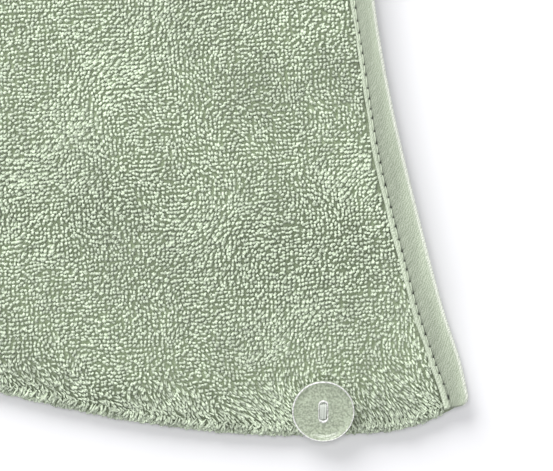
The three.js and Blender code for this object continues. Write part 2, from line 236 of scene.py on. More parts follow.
thin_corner = (THIN_WIDTH + 4) / lengths_along(seamed_line)[-1]
thin_top = 4 / lengths_along(tail_line)[-1]
FINE_STEP = 4


def fine(line, start=0.0, end=1.0):
    count = ceil(lengths_along(line)[-1] * (end - start) / FINE_STEP) + 1
    return resample(line, count, start, end)


corner_seam = fine(seamed_line, 0, thin_corner)
opening_edge = fine(opening_line)
tip_back = fine(tip_line)[::-1][1:]
tail_back = fine(tail_line, thin_top, 1)[::-1][1:]
seam_edge = np.vstack([fine(seamed_line, thin_corner, 1), tip_back, tail_back])
whole_edge = np.vstack([opening_edge, fine(tail_line)[1:], fine(tip_line), fine(seamed_line)[::-1]])
# The bound edge, run on past the nape corner so that the tape ends square to it
past_corner = opening_edge[0] + 15 * (opening_edge[0] - opening_edge[1]) / FINE_STEP
bound_edge = np.vstack([past_corner, opening_edge, fine(tail_line, 0, thin_top)[1:]])

CHUNK = 4000


def in_chunks(measure, points):
    return np.concatenate([measure(points[i : i + CHUNK, None]) for i in range(0, len(points), CHUNK)])


def distance_to(line, points):
    start, step = line[:-1], np.diff(line, axis=0)
    squared = (step**2).sum(axis=1)

    def nearest(p):
        along = np.clip(((p - start) * step).sum(axis=2) / squared, 0, 1)
        away = p - start - along[..., None] * step
        return np.sqrt((away**2).sum(axis=2).min(axis=1))

    return in_chunks(nearest, points)


def inside(line, points):
    (x, y), (next_x, next_y) = line.T, np.roll(line, -1, axis=0).T
    rise = np.where(next_y == y, 1, next_y - y)

    def crossed(p):
        cross = x + (p[..., 1] - y) * (next_x - x) / rise
        spans = (y > p[..., 1]) != (next_y > p[..., 1])
        return (spans & (p[..., 0] < cross)).sum(axis=1) % 2 == 1

    return in_chunks(crossed, points)


def tape_share(y):
    return lerp(LOW_SHARE, HIGH_SHARE, smooth((y - NARROWING[0]) / (NARROWING[1] - NARROWING[0])))


def bound_distance(points):
    """Distance in from the bound edge, in units that put the tape's inner edge at its full width."""
    return distance_to(bound_edge, points) / tape_share(points[:, 1])


# Surfaces of the panels, as heights above the surface they lie on

# Heading in degrees, length as a share of the hood width, phase in turns, share of the height
wave_rows = [(40, 0.62, 0.1, 0.5), (-35, 0.43, 0.45, 0.3), (85, 0.81, 0.7, 0.2)]


def pocket_lift(points, seam):
    opened = smooth((seam - SEAM_ALLOWANCE) / POCKET_RUN)
    mouth = 1 - (1 - MOUTH_SHARE) * np.exp(-distance_to(opening_edge, points) / MOUTH_RUN)
    wave = 0
    for heading, length, phase, share in wave_rows:
        turns = points @ heading_way(radians(heading)) / (length * HOOD_WIDTH) + phase
        wave = wave + share * np.sin(2 * pi * turns)
    return opened * (POCKET_HEIGHT * mouth + WAVE_HEIGHT * wave)


def thinness(points, seam):
    within = 1 - smooth((bound_distance(points) - THIN_WIDTH) / STEP_WIDTH)
    return within * smooth(seam / RIM_RADIUS)


def roll_share(distance):
    t = np.maximum(1 - distance / RIM_RADIUS, 0)
    return np.sqrt(1 - t * t)


def edge_distances(points):
    """Distances to the seam that the pocket opens from, and to the whole rolled seam."""
    seam = distance_to(seam_edge, points)
    return seam, np.minimum(seam, distance_to(corner_seam, points))


def front_lower(points):
    seam, rolled = edge_distances(points)
    return FRONT_BASE + pocket_lift(points, seam) + (TAPE_WALL + CLEARANCE) * thinness(points, rolled)


def front_upper(points, depth=0.0):
    """The front panel's outer surface, or the woven ground a depth below it."""
    seam, rolled = edge_distances(points)
    past = np.maximum(rolled - RIM_RADIUS, 0) / RIM_RADIUS
    plump = (RIM_HEIGHT - TERRY_WALL) * bell(past, 1)
    crease = CREASE_DEPTH * bell(rolled / RIM_RADIUS - 1.8, 0.5)
    cloth = roll_share(rolled) * (TERRY_WALL + plump - crease - depth)
    pressed = TAPE_WALL + CLEARANCE + BOUND_EDGE
    thin = thinness(points, rolled)
    return FRONT_BASE + pocket_lift(points, seam) + np.minimum(cloth, lerp(cloth, pressed, thin))


def front_ground(points):
    return front_upper(points, PILE_DEPTH)


def back_lower(points):
    _, rolled = edge_distances(points)
    roll = BOUND_STACK * (1 - roll_share(rolled))
    return np.maximum(roll, (TAPE_WALL + CLEARANCE) * thinness(points, rolled))


def back_upper(points):
    _, rolled = edge_distances(points)
    cloth = lerp(BOUND_STACK, TERRY_WALL, smooth(rolled / SEAM_ALLOWANCE - 1))
    return lerp(cloth, TAPE_WALL + CLEARANCE + BOUND_EDGE, thinness(points, rolled))


def unit(vectors):
    return vectors / np.maximum(np.linalg.norm(vectors, axis=-1, keepdims=True), 1e-9)


def surface_normals(height, points):
    step = 0.5
    here = height(points)
    east = height(points + [step, 0]) - here
    north = height(points + [0, step]) - here
    return unit(np.c_[-east, -north, np.full(len(points), step)])


# Meshes


def add_object(name, data):
    item = bpy.data.objects.new(name, data)
    bpy.context.scene.collection.objects.link(item)
    return item


def make_piece(name, points, quads, material):
    """A smooth mesh from points in mm from the nape corner and rows of four indices."""
    mesh = bpy.data.meshes.new(name)
    mesh.vertices.add(len(points))
    mesh.vertices.foreach_set("co", ((np.asarray(points) + CORNER) * MM).astype(np.float32).ravel())
    mesh.loops.add(quads.size)
    mesh.loops.foreach_set("vertex_index", quads.astype(np.int32).ravel())
    mesh.polygons.add(len(quads))
    mesh.polygons.foreach_set("loop_start", np.arange(0, quads.size, 4, dtype=np.int32))
    mesh.polygons.foreach_set("use_smooth", np.ones(len(quads), bool))
    mesh.update(calc_edges=True)
    mesh.materials.append(material)
    piece = add_object(name, mesh)
    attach(piece, "root")
    return piece


def set_colours(piece, name, values):
    layer = piece.data.color_attributes.new(name, "FLOAT_COLOR", "POINT")
    layer.data.foreach_set("color", values.astype(np.float32).ravel())


def set_vectors(piece, name, *parts):
    values = np.stack(np.broadcast_arrays(*parts), axis=-1)
    layer = piece.data.attributes.new(name, "FLOAT_VECTOR", "POINT")
    layer.data.foreach_set("vector", values.astype(np.float32).ravel())


def grid_quads(rows, columns, close_rows=False, close_columns=False):
    """Quads over a grid of points in row order, with the last row or column joined to the first."""
    index = np.arange(rows * columns).reshape(rows, columns)
    if close_rows:
        index = np.vstack([index, index[:1]])
    if close_columns:
        index = np.hstack([index, index[:, :1]])
    a, b, c, d = index[:-1, :-1], index[1:, :-1], index[1:, 1:], index[:-1, 1:]
    return np.stack([a, b, c, d], axis=-1).reshape(-1, 4)


def weld(piece):
    body = bmesh.new()
    body.from_mesh(piece.data)
    bmesh.ops.remove_doubles(body, verts=body.verts, dist=1e-7)
    bmesh.ops.dissolve_degenerate(body, edges=body.edges, dist=1e-7)
    body.to_mesh(piece.data)
    body.free()


def strand_mesh(middle, side, other, radius, sides, start=0.0):
    """Points and quads of a tube round each centre line, given as (lines, stations, 3)."""
    rings = []
    for k in range(sides):
        angle = 2 * pi * (k + start) / sides
        rings.append(middle + radius * (cos(angle) * side + sin(angle) * other))
    count, stations = middle.shape[:2]
    one = grid_quads(stations, sides, close_columns=True)
    quads = one + (np.arange(count) * stations * sides)[:, None, None]
    return np.stack(rings, axis=2).reshape(-1, 3), quads.reshape(-1, 4)


# Materials


def set_inputs(node, inputs):
    for key, value in inputs.items():
        node.inputs[key.replace("_", " ")].default_value = value


def new_material(name, **inputs):
    """A material whose shader has these inputs, and its node tree."""
    material = bpy.data.materials.new(name)
    material.use_nodes = True
    set_inputs(material.node_tree.nodes["Principled BSDF"], inputs)
    return material, material.node_tree


def add_node(tree, kind, *sources, **inputs):
    """A node whose inputs are linked, from pairs of an input and its source, or set to a value."""
    node = tree.nodes.new("ShaderNode" + kind)
    for key, source in sources:
        tree.links.new(source, node.inputs[key])
    set_inputs(node, inputs)
    return node


def add_math(tree, operation, *sources):
    node = add_node(tree, "Math", *enumerate(sources))
    node.operation = operation
    return node


def colour_ramp(tree, source, *stops):
    ramp = add_node(tree, "ValToRGB", ("Fac", source))
    for element, (place, colour) in zip(ramp.color_ramp.elements, (stops[0], stops[-1])):
        element.position = place
        element.color = (*colour, 1)
    for place, colour in stops[1:-1]:
        ramp.color_ramp.elements.new(place).color = (*colour, 1)
    return ramp.outputs["Color"]


def scaled(tree, colour, factor):
    mix = tree.nodes.new("ShaderNodeMix")
    mix.data_type = "RGBA"
    mix.blend_type = "MULTIPLY"
    mix.inputs["Factor"].default_value = 1
    tree.links.new(colour, mix.inputs["A"])
    tree.links.new(factor, mix.inputs["B"])
    return mix.outputs["Result"]


def stored(tree, name, output="Color"):
    """Values that the mesh carries at its points."""
    node = add_node(tree, "Attribute")
    node.attribute_name = name
    return node.outputs[output]


def add_noise(tree, **inputs):
    place = add_node(tree, "TexCoord").outputs["Object"]
    return add_node(tree, "TexNoise", ("Vector", place), **inputs).outputs["Fac"]


def finish_look(tree, colour, height, strength, distance, invert=False):
    """Gives the shader its colour, and a relief from a height."""
    bump = add_node(tree, "Bump", ("Height", height), Strength=strength, Distance=distance)
    bump.invert = invert
    shader = tree.nodes["Principled BSDF"]
    tree.links.new(colour, shader.inputs["Base Color"])
    tree.links.new(bump.outputs["Normal"], shader.inputs["Normal"])


def pile_material():
    """Cotton yarn with fine fibres, and painted shade: deeper green at the foot of a loop, deep in the
    pile where shade falls, paler at its tip.
    """
    material, tree = new_material(
        "cotton_pile", Roughness=0.85, Specular_IOR_Level=0.25, Sheen_Weight=0.25, Sheen_Roughness=0.5
    )
    parts = add_node(tree, "SeparateColor", ("Color", stored(tree, "pile")))
    # Painted shade: the ramp runs from the dark foot of a loop to its pale tip
    yarn = colour_ramp(
        tree,
        parts.outputs["Red"],
        (0.0, (0.405, 0.475, 0.345)), (0.5, (0.535, 0.61, 0.465)),
        (0.85, (0.605, 0.685, 0.535)), (1.0, (0.625, 0.705, 0.555)),
    )
    tone = add_math(tree, "MULTIPLY", parts.outputs["Green"], parts.outputs["Blue"])
    colour = scaled(tree, yarn, tone.outputs["Value"])
    plies = add_noise(tree, Scale=2400, Detail=1)
    shade = add_node(
        tree, "MapRange", ("Value", plies), From_Min=0.36, From_Max=0.64, To_Min=0.76, To_Max=1.18
    )
    fibres = add_noise(tree, Scale=5200, Detail=2, Roughness=0.6)
    finish_look(tree, scaled(tree, colour, shade.outputs["Result"]), fibres, 0.5, 0.0001)
    return material


def ground_material():
    """The woven ground between the loops, with painted shade: it is coloured far darker than the yarn,
    as the pile shades it.
    """
    material, tree = new_material("terry_ground", Roughness=0.95, Specular_IOR_Level=0.1)
    place = add_node(tree, "TexCoord").outputs["Object"]
    weave = add_node(tree, "TexVoronoi", ("Vector", place), Scale=1000 / PILE_PITCH)
    weave.distance = "CHEBYCHEV"
    away = weave.outputs["Distance"]
    # Painted shade: the ground's colours are far darker than the loops' yarn
    colour = colour_ramp(tree, away, (0.0, (0.38, 0.44, 0.31)), (0.8, (0.25, 0.305, 0.195)))
    finish_look(tree, colour, away, 0.8, 0.0006, invert=True)
    return material


def tape_material():
    """Bias tape: fine cotton weave that runs diagonally to the tape."""
    material, tree = new_material(
        "cotton_tape", Roughness=0.75, Specular_IOR_Level=0.25, Sheen_Weight=0.15
    )
    place = stored(tree, "cloth", "Vector")
    turn = add_node(tree, "Mapping", ("Vector", place), Rotation=(0, 0, radians(-40)))
    threads = []
    for direction, scale in (("X", WEAVE_SCALE), ("Y", 1.3 * WEAVE_SCALE)):
        weave = add_node(
            tree, "TexWave", ("Vector", turn.outputs["Vector"]),
            Scale=scale, Distortion=8, Detail=2, Detail_Scale=1.6,
        )
        weave.wave_type = "BANDS"
        weave.bands_direction = direction
        threads.append(weave.outputs["Fac"])
    lesser = add_math(tree, "MULTIPLY", threads[1])
    lesser.inputs[1].default_value = 0.35
    both = add_math(tree, "MULTIPLY_ADD", threads[0])
    both.inputs[1].default_value = 0.65
    tree.links.new(lesser.outputs["Value"], both.inputs[2])
    weave = both.outputs["Value"]
    colour = colour_ramp(tree, weave, (0.1, (0.27, 0.315, 0.232)), (0.9, (0.47, 0.52, 0.415)))
    # The stored shade paints light and shade onto the tape
    finish_look(tree, scaled(tree, colour, stored(tree, "shade")), weave, 0.4, 0.0001)
    return material


def speckle(tree, source, colour, low, darkness, strength, distance):
    """A colour broken by darker specks that are also a little sunk."""
    dark = tuple(darkness * c for c in colour)
    tint = colour_ramp(tree, source, (low, dark), (1 - low, colour))
    finish_look(tree, tint, source, strength, distance)


def thread_material(name, colour):
    """Sewing thread with the ridges of its twist."""
    material, tree = new_material(name, Roughness=0.6)
    speckle(tree, add_noise(tree, Scale=3500, Detail=1), colour, 0.3, 0.82, 0.4, 0.0001)
    return material


def resin_material(name, colour, transmission, roughness):
    """Clear, faintly green plastic with a slightly uneven face, and darker specks: painted refraction of
    the pile seen through it.
    """
    material, tree = new_material(name, Roughness=roughness, Transmission_Weight=transmission, IOR=1.45)
    speckle(tree, add_noise(tree, Scale=1500, Detail=3), colour, 0.35, 0.52, 0.15, 0.0002)
    return material


pile = pile_material()
ground = ground_material()
tape = tape_material()
stitch_thread = thread_material("stitch_thread", (0.66, 0.74, 0.58))
button_thread = thread_material("button_thread_cotton", (0.62, 0.66, 0.60))
# The pale colour is partly painted light, making up for the shade that the button casts on the pile
# under it
resin = resin_material("clear_resin", (0.83, 0.92, 0.73), 0.5, 0.08)
# A whiter copy of the clear resin, for painted highlights on the button's edges
highlight_resin = resin_material("resin_edge_highlight", (0.97, 0.98, 0.95), 0.1, 0.25)
floor_look, _ = new_material(
    "pale_floor", Roughness=0.9, Specular_IOR_Level=0.1, Base_Color=(0.74, 0.74, 0.755, 1)
)


# Camera


def make_camera():
    data = bpy.data.cameras.new("camera")
    data.lens = FOCAL_LENGTH
    data.sensor_width = SENSOR_WIDTH
    data.clip_end = 10
    middle = (np.array(PHOTO_SIZE) / 2 - CORNER_PIXEL) * MM_PER_PIXEL
    distance = PHOTO_SIZE[0] * MM_PER_PIXEL * FOCAL_LENGTH / SENSOR_WIDTH
    camera = add_object("camera", data)
    camera.location = (np.array([middle[0], -middle[1], VIEW_PLANE + distance]) + CORNER) * MM
    bpy.context.scene.camera = camera


make_camera()


# Ground sheets of the two panels

SHEET_COLUMNS = 300
SPINE_START = np.array([-0.5 * HOOD_WIDTH, 0.85 * CROWN_RISE])
SPINE_END = np.array([-TAIL_INSET - TAIL_WIDTH / 2, BODY_LENGTH - TAIL_WIDTH / 2])
NAPE_SPLIT = 0.17  # share of the seamed side from where both ways round the edge start
ROLL_INSET = 0.9  # how far the ground's rim lies in from the outline


def sheet_columns():
    """Points round the edge, from nape to tail tip and back, and their places on the spine."""
    nape = resample(seamed_line, 40, NAPE_SPLIT, 0)
    near = np.vstack([nape, opening_line[1:], tail_line[1:], resample(tip_line, 30, 0, 0.5)[1:]])
    crown = resample(seamed_line, int(lengths_along(seamed_line)[-1] / 3), NAPE_SPLIT, 1)
    far = np.vstack([crown, resample(tip_line, 30, 1, 0.5)[1:]])
    count = SHEET_COLUMNS // 2
    near, far = resample(near, count), resample(far, count)
    spine = lerp(SPINE_START, SPINE_END, np.linspace(0, 1, count)[:, None])
    return np.vstack([near, far[-2:0:-1]]), np.vstack([spine, spine[-2:0:-1]])


def points_inside(points, targets, distance):
    """On the way from each edge point to its target, the place that lies that far from the edge."""
    low, high = np.zeros(len(points)), np.ones(len(points))
    for _ in range(12):
        share = (low + high) / 2
        short = distance_to(whole_edge, lerp(points, targets, share[:, None])) < distance
        low, high = np.where(short, share, low), np.where(short, high, share)
    return lerp(points, targets, high[:, None])


def make_sheet(name, node, upper, lower, upper_rings, lower_rings):
    edge, spine = sheet_columns()

    def surface(height, distances):
        rings = [points_inside(edge, spine, d) for d in distances]
        last = rings[-1]
        rings += [lerp(last, spine, share) for share in (0.2, 0.4, 0.6, 0.8, 1.0)]
        return [np.c_[ring, height(ring)] for ring in rings]

    rows = surface(lower, lower_rings)[::-1] + surface(upper, upper_rings)
    quads = grid_quads(len(rows), len(edge), close_columns=True)[:, ::-1]
    piece = make_piece(name, np.vstack(rows), quads, ground)
    weld(piece)
    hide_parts(node)
    return piece


# Distances in from the edge of the rings of points, on the domed side and on the flat one
front_rings = [ROLL_INSET, 1.2, 1.8, 2.6, 3.6, 4.8, 6, 7.5, 9.3, 10.4, 13, 18, 26]
flat_rings = [ROLL_INSET, 4, 9.3, 10.4, 16, 26]
domed = front_rings, flat_rings
front_sheet = make_sheet("front_terry", "front_panel", front_ground, front_lower, *domed)
back_sheet = make_sheet("back_terry", "back_panel", back_upper, back_lower, *domed[::-1])

# Pile


def smooth_noise(points, size, seed):
    """Soft random values from -1 to 1 that change over a given size."""
    source = np.random.default_rng(seed)
    total = np.zeros(len(points))
    for _ in range(5):
        way = heading_way(source.uniform(0, 2 * pi)) / (size * source.uniform(0.7, 1.6))
        total += np.sin(2 * pi * (points @ way + source.uniform()))
    return total / 2.2


def soft_drift(points, size, seed):
    """Soft random vectors in plan."""
    return np.c_[smooth_noise(points, size, seed), smooth_noise(points, size, seed + 1)]


# For loops in the photograph's frame and beyond it: share of the yarn's radius, least painted exposure
# (a floor on the painted shade at a loop's foot), share of the tone, stations along a loop and sides
# round it
LOOP_KINDS = {"near": (1, 0, 1, 5, 4), "far": (1.52, 0.45, 1.05, 3, 3)}
LOOP_TWIST = 0.45  # radians, of a standing loop
LEAST_HEIGHT = 0.05  # of the yarn over the floor


def pile_loops(name, kind, feet, normals, heading, lean, height, brushed, tone):
    """Loops of yarn: an arch between two feet, turned to its heading and leaning over."""
    fullness, lift, gain, stations, sides = LOOP_KINDS[kind]
    each = (len(feet), 1, 1)
    heading, height, brushed, tone = (row.reshape(each) for row in (heading, height, brushed, tone))
    normals = normals[:, None]
    t = np.linspace(0, 1, stations)[None, :, None]
    rise = np.sin(pi * t) ** 0.65
    run = np.sign(0.5 - t) * np.abs(np.cos(pi * t)) ** 0.75
    first = unit(np.array([1.0, 0.0, 0.0]) - normals[..., :1] * normals)
    turn = heading + random.normal(0, LOOP_TWIST, each) * (1 - 0.65 * brushed) * (2 * t - 1)
    way = first * np.cos(turn) + np.cross(normals, first) * np.sin(turn)
    spread = LOOP_WIDTH / 2 * random.uniform(0.75, 1.25, each) * lerp(1, BRUSHED_WIDENING, brushed)
    middle = feet[:, None] - way * spread * run + normals * height * rise + lean[:, None] * rise
    along = unit(np.gradient(middle, axis=1))
    side = np.cross(way, normals)
    side = unit(side - (side * along).sum(axis=2, keepdims=True) * along)
    radius = lerp(YARN_RADIUS, BRUSHED_RADIUS, brushed) * random.uniform(0.88, 1.12, each)
    radius = fullness * radius * (0.78 + 0.26 * rise)
    points, quads = strand_mesh(middle, YARN_SPREAD * side, np.cross(along, side), radius, sides, 0.5)
    points[:, 2] = np.maximum(points[:, 2], LEAST_HEIGHT)
    piece = make_piece(name, points, quads, pile)
    own_tone = 0.95 + random.uniform(-1, 1, each) * lerp(0.13, 0.26, brushed)
    # Painted shade: how far up its loop a point lies, which the ramp turns into shade at the foot
    painted_exposure = np.maximum(rise ** lerp(1.0, 0.6, brushed), lift)
    values = np.broadcast_arrays(painted_exposure, gain * tone, own_tone, np.ones((1, 1, sides)))
    set_colours(piece, "pile", np.stack(values, axis=-1))
    return piece


GRAIN = radians(4)  # how far the rows of loops turn from the X axis
ROW_JITTER = 0.14  # of the pitch
RIM_REACH = 2.8  # loops this near the seam are laid in rows round its roll


def interior_feet(pitch):
    """Places of the loops on the front panel, in jittered rows along the grain."""
    low, high = whole_edge.min(axis=0), whole_edge.max(axis=0)
    middle, reach = (low + high) / 2, np.linalg.norm(high - low) / 2
    steps = np.arange(-reach, reach, pitch)
    u, v = (grid.ravel() for grid in np.meshgrid(steps, steps))
    u = u + random.normal(0, ROW_JITTER * pitch, len(u))
    v = v + random.normal(0, ROW_JITTER * pitch, len(v))
    x = u * cos(GRAIN) - v * sin(GRAIN)
    y = u * sin(GRAIN) + v * cos(GRAIN)
    points = np.c_[x, y] + middle
    points = points[(points > low).all(axis=1) & (points < high).all(axis=1)]
    points = points[inside(whole_edge, points)]
    _, rolled = edge_distances(points)
    points = points[rolled > RIM_REACH]
    return points[bound_distance(points) > THIN_WIDTH - 0.1]


# Patches of painted light and shade, where the pile is brushed different ways: middle, spread and share
# of the tone
patch_rows = [
    (-98, 124, 13, 0.09), (-113, 106, 11, 0.08), (-124, 91, 11, 0.07), (-137, 76, 12, 0.065),
    (-34, 74, 11, 0.1), (-82, 55, 12, 0.09), (-55, 23, 11, 0.1), (-18, 20, 9, 0.08),
    (-67, 101, 11, -0.14), (-43, 105, 9, -0.13), (-93, 71, 10, -0.09), (-117, 60, 12, -0.1),
    (-142, 10, 14, -0.05), (-74, 14, 11, -0.09), (-36, 50, 10, -0.09), (-30, -3, 8, -0.08),
]

FREE_HEADING = radians(-128)  # most standing loops are turned this way
COMBED_REACH = 1.3 * heading_way(FREE_HEADING)
LEAN_WAY = np.array([0.62, -0.78])  # the pile near the nape is brushed this way
BRUSHED_WIDTH = 23  # of the brushed zone at the nape corner
BRUSHED_NARROW = 9  # and further along the seam
BRUSHED_REACH = 2.15
BRUSHED_TONE = 0.97
NAPE_REACH = 165  # how far from the nape corner the photograph shows the seam
NAPE_FADE = 45


def near_nape(points):
    return 1 - smooth((np.linalg.norm(points, axis=1) - NAPE_REACH) / NAPE_FADE)


def near_corner(points):
    """1 at the nape corner, 0 towards the hood's far side."""
    return smooth((points[:, 0] + 130) / 90)


def patch_share(points, x, y, spread):
    return np.exp(-((points - [x, y]) ** 2).sum(axis=1) / spread**2)


# Random tone of the pile, with painted shade in the crease beside the rolled seam and patches of painted
# light and shade
def pile_tone_and_shade(points):
    _, rolled = edge_distances(points)
    tone = 1 + 0.04 * smooth_noise(points, 45, 16) + 0.025 * smooth_noise(points, 12, 17)
    # Painted shade in the crease beside the rolled seam
    crease_shade = lerp(0.04, 0.12, near_nape(points))
    tone = tone - crease_shade * bell(rolled - 4.5, 1.6)
    # Painted light and shade in patches where the pile lies differently
    for x, y, spread, share in patch_rows:
        tone = tone + share * patch_share(points, x, y, spread)
    return tone


def brushed_share(points):
    """1 where the pile lies flat near the nape seam and the bound edge, 0 where it stands."""
    _, rolled = edge_distances(points)
    ragged = 4 * smooth_noise(points, 22, 19)
    width = lerp(BRUSHED_NARROW, BRUSHED_WIDTH, near_corner(points))
    near_seam = smooth(1 - (rolled + ragged - 5) / width) * near_nape(points)
    near_bound = smooth(1 - (bound_distance(points) + ragged - THIN_WIDTH - 3) / 14)
    low = 1 - smooth((points[:, 1] - 15) / 40)
    return np.maximum(near_seam, 0.6 * near_bound * low)


def combed_share(points):
    """1 in the middle of the light streaks, where the standing loops lean over."""
    share = 0.6 * smooth(smooth_noise(points, 16, 20) - 0.45)
    for x, y, spread, tone in patch_rows:
        if tone > 0:
            share = np.maximum(share, patch_share(points, x, y, 1.25 * spread))
    return share


def in_photo(points, margin=4):
    corner = np.array(CORNER_PIXEL) * MM_PER_PIXEL
    size = np.array(PHOTO_SIZE) * MM_PER_PIXEL
    x, y = points[:, 0] + corner[0], corner[1] - points[:, 1]
    return (x > -margin) & (x < size[0] + margin) & (y > -margin) & (y < size[1] + margin)


PILE_PARTS = 3  # pieces that each kind of loop on the front panel is divided into
FADE = (3, 15)  # how far past the frame a loop of the finer kind may stand


def make_front_pile():
    close, wide = interior_feet(PILE_PITCH), interior_feet(FAR_PITCH)
    close = close[in_photo(close, random.uniform(*FADE, len(close)))]
    # The long brushed loops overlap, so there are more of them
    flat = np.flatnonzero(brushed_share(close) > 0.4)
    extra = close[random.choice(flat, len(flat) // 5, replace=False)]
    extra = extra + random.normal(0, 0.5, extra.shape)
    wide = wide[~in_photo(wide, random.uniform(*FADE, len(wide)))]
    points = np.vstack([close, extra, wide])
    count = len(points)
    near = np.arange(count) < len(close) + len(extra)
    brushed = brushed_share(points)
    corner = near_corner(points)
    combed = combed_share(points)[:, None]
    sway, ripple = soft_drift(points, 30, 11), soft_drift(points, 9, 13)
    own = random.normal(0, 0.17, (count, 2))
    stray = own * lerp(1.6, 0.4, corner)[:, None]
    flat_way = unit(LEAN_WAY + 0.1 * sway + 0.1 * ripple + stray)
    long = brushed * BRUSHED_REACH * random.uniform(0.65, 1.25, count) * lerp(0.9, 1.2, corner)
    loose = 0.2 * sway + 0.27 * ripple + own + COMBED_REACH * combed
    lean = loose * (1 - 0.8 * brushed[:, None]) + flat_way * long[:, None]
    normals = surface_normals(front_ground, points)
    feet = np.c_[points, front_ground(points)]
    swept = np.arctan2(lean[:, 1], lean[:, 0])
    swept = swept + random.normal(0, 0.6, count) * lerp(1, 0.4, corner)
    turned = 1.1 * smooth_noise(points, 26, 15) + random.normal(0, 0.5, count)
    free = FREE_HEADING + turned * (1 - 0.6 * combed[:, 0])
    heading = lerp(free, swept, smooth((brushed - 0.15) / 0.4))
    height = lerp(1.65, 0.8, brushed) * random.uniform(0.68, 1.24, count)
    tone = pile_tone_and_shade(points) * lerp(1, BRUSHED_TONE, brushed)
    lean = np.c_[lean, np.zeros(count)]
    rows = (feet, normals, heading, lean, height, brushed, tone)
    pieces = []
    for kind, chosen in (("near", near), ("far", ~near)):
        order = np.flatnonzero(chosen)
        order = order[np.argsort(points[order, 1])]
        for i, part in enumerate(np.array_split(order, PILE_PARTS)):
            pieces.append(pile_loops(f"front_pile_{kind}_{i + 1}", kind, *(row[part] for row in rows)))
    return pieces


# Rows of loops round the rolled seam: angle from straight up in degrees, and how far the loops
# lean down over the edge
rim_rows = [(12, 1.3), (30, 1.3), (48, 1.1), (66, 0.9), (84, 0.6), (104, 0.4), (128, 0.3)]
RIM_START = 7.5  # along the nape seam from the corner, where the tape's end lies
RIM_STOP = 4  # before the end of the seam
RIM_BRUSHED = 0.8
rim_way = np.vstack([fine(seamed_line), tip_back, fine(tail_line)[::-1][1:]])


def make_rim_pile():
    """Loops round the rolled seam, over both panels' rims."""
    length = lengths_along(rim_way)[-1] - RIM_START - RIM_STOP
    count = int(length / PILE_PITCH)
    groups = {"near": [], "far": []}
    for angle, droop in rim_rows:
        shares = (np.arange(count) + random.uniform(-0.35, 0.35, count) + 0.5) / count
        places = RIM_START + shares * length
        edge = resample_at(rim_way, places)
        way = unit(resample_at(rim_way, places + 1) - resample_at(rim_way, places - 1))
        outward = left_of(way)
        tilt = radians(angle) + random.normal(0, 0.08, count)
        c, s = np.cos(tilt)[:, None], np.sin(tilt)[:, None]
        base = edge - outward * (RIM_RADIUS - (RIM_RADIUS - ROLL_INSET) * s)
        rise = np.where(tilt < pi / 2, RIM_HEIGHT - PILE_DEPTH + 0.4, BOUND_STACK - 0.6)
        feet = np.c_[base, FRONT_BASE + rise * np.cos(tilt)]
        down = np.c_[outward * c, -s]
        lean = down * (droop * random.uniform(0.5, 1.5, count))[:, None]
        lean[:, :2] += way * random.normal(0.55, 0.55, count)[:, None]
        rows = (feet, np.c_[outward * s, c], lean, random.uniform(0.5, 1.3, count), tilt)
        near = in_photo(base)
        groups["near"].append([row[near] for row in rows])
        groups["far"].append([row[~near] for row in rows])
    pieces = []
    for kind, group in groups.items():
        feet, normals, lean, height, tilt = (np.concatenate(part) for part in zip(*group))
        heading = np.arctan2(lean[:, 1], lean[:, 0]) + random.normal(0, 0.7, len(feet))
        brushed = np.full(len(feet), RIM_BRUSHED)
        # Painted light: rows further round and down the roll are painted paler where they hang over the
        # edge
        tone = 0.86 + 0.12 * tilt + 0.07 * smooth_noise(feet[:, :2], 12, 18)
        rows = (feet, normals, heading, lean, height, brushed, tone)
        pieces.append(pile_loops(f"rim_pile_{kind}", kind, *rows))
    return pieces


pile_pieces = make_front_pile() + make_rim_pile()


# Bindings

NEAR_LENGTH = 165  # the stretch of binding that the photograph shows, with some to spare
PUCKER = 0.1


def binding_section(steps):
    """The tape's section as distances in from the panel's edge and heights, upper side last."""
    half = BOUND_STACK / 2
    start = 0.9 * half - CLEARANCE - TAPE_WALL  # where its flat sides start
    angles = np.radians(np.linspace(-80, 80, 9))
    bend = [(start - 0.9 * half * cos(a), half + half * sin(a)) for a in angles]
    top = [(d, BOUND_STACK) for d in np.linspace(start + 0.2, BINDING_WIDTH - 0.25, steps)]
    wide, inner = BINDING_WIDTH, BOUND_STACK - TAPE_WALL
    lip = [(wide, BOUND_STACK - 0.2), (wide, inner)]
    slot = [(-CLEARANCE, inner), (-CLEARANCE, TAPE_WALL), (wide, TAPE_WALL), (wide, 0), (start, 0)]
    return np.array(bend + top + lip + slot), len(bend), len(bend) + len(top)


STITCH_LINE = BINDING_WIDTH - LIP_WIDTH
END_ROUND = 2.7
END_RUN = 1.0  # how far the tape runs on past the nape seam
STITCH_DRIFT = 1.8  # the stitches run out towards the fold at the lower end
LIP_GROWTH = (0.15, 0.4)  # added to the lip's width, everywhere and at the lower end


def stitch_drift(along):
    return STITCH_DRIFT * (1 - smooth(along / 16))


def from_hole(along):
    """Distance along the tape to the nearest needle hole, whose pitch is slightly uneven."""
    phase = along / STITCH_PITCH + 0.12 * np.sin(along * 0.9) + 0.1 * np.sin(along * 0.37 + 1)
    return (phase - np.round(phase)) * STITCH_PITCH


def tape_relief(across, along):
    """Raised lip, stitch groove with needle holes, and the puckered band."""
    edge, hole = across - STITCH_LINE, from_hole(along)
    lip = 0.18 * smooth((edge - 0.3) / 0.35) * smooth((BINDING_WIDTH - across) / 0.35)
    groove = -0.26 * bell(edge, 0.32)
    holes = -HOLE_DIP * bell(np.hypot(hole, edge + HOLE_SET), HOLE_SPREAD)
    reach = np.exp(np.minimum(edge, 0) / 2.6) * (edge < 0)
    pucker = -PUCKER * np.cos(2 * pi * (hole + 0.5 * edge) / STITCH_PITCH) * reach
    swell = 0.25 * np.sin(pi * np.clip(across / STITCH_LINE, 0, 1))
    return lip + groove + holes + pucker + swell


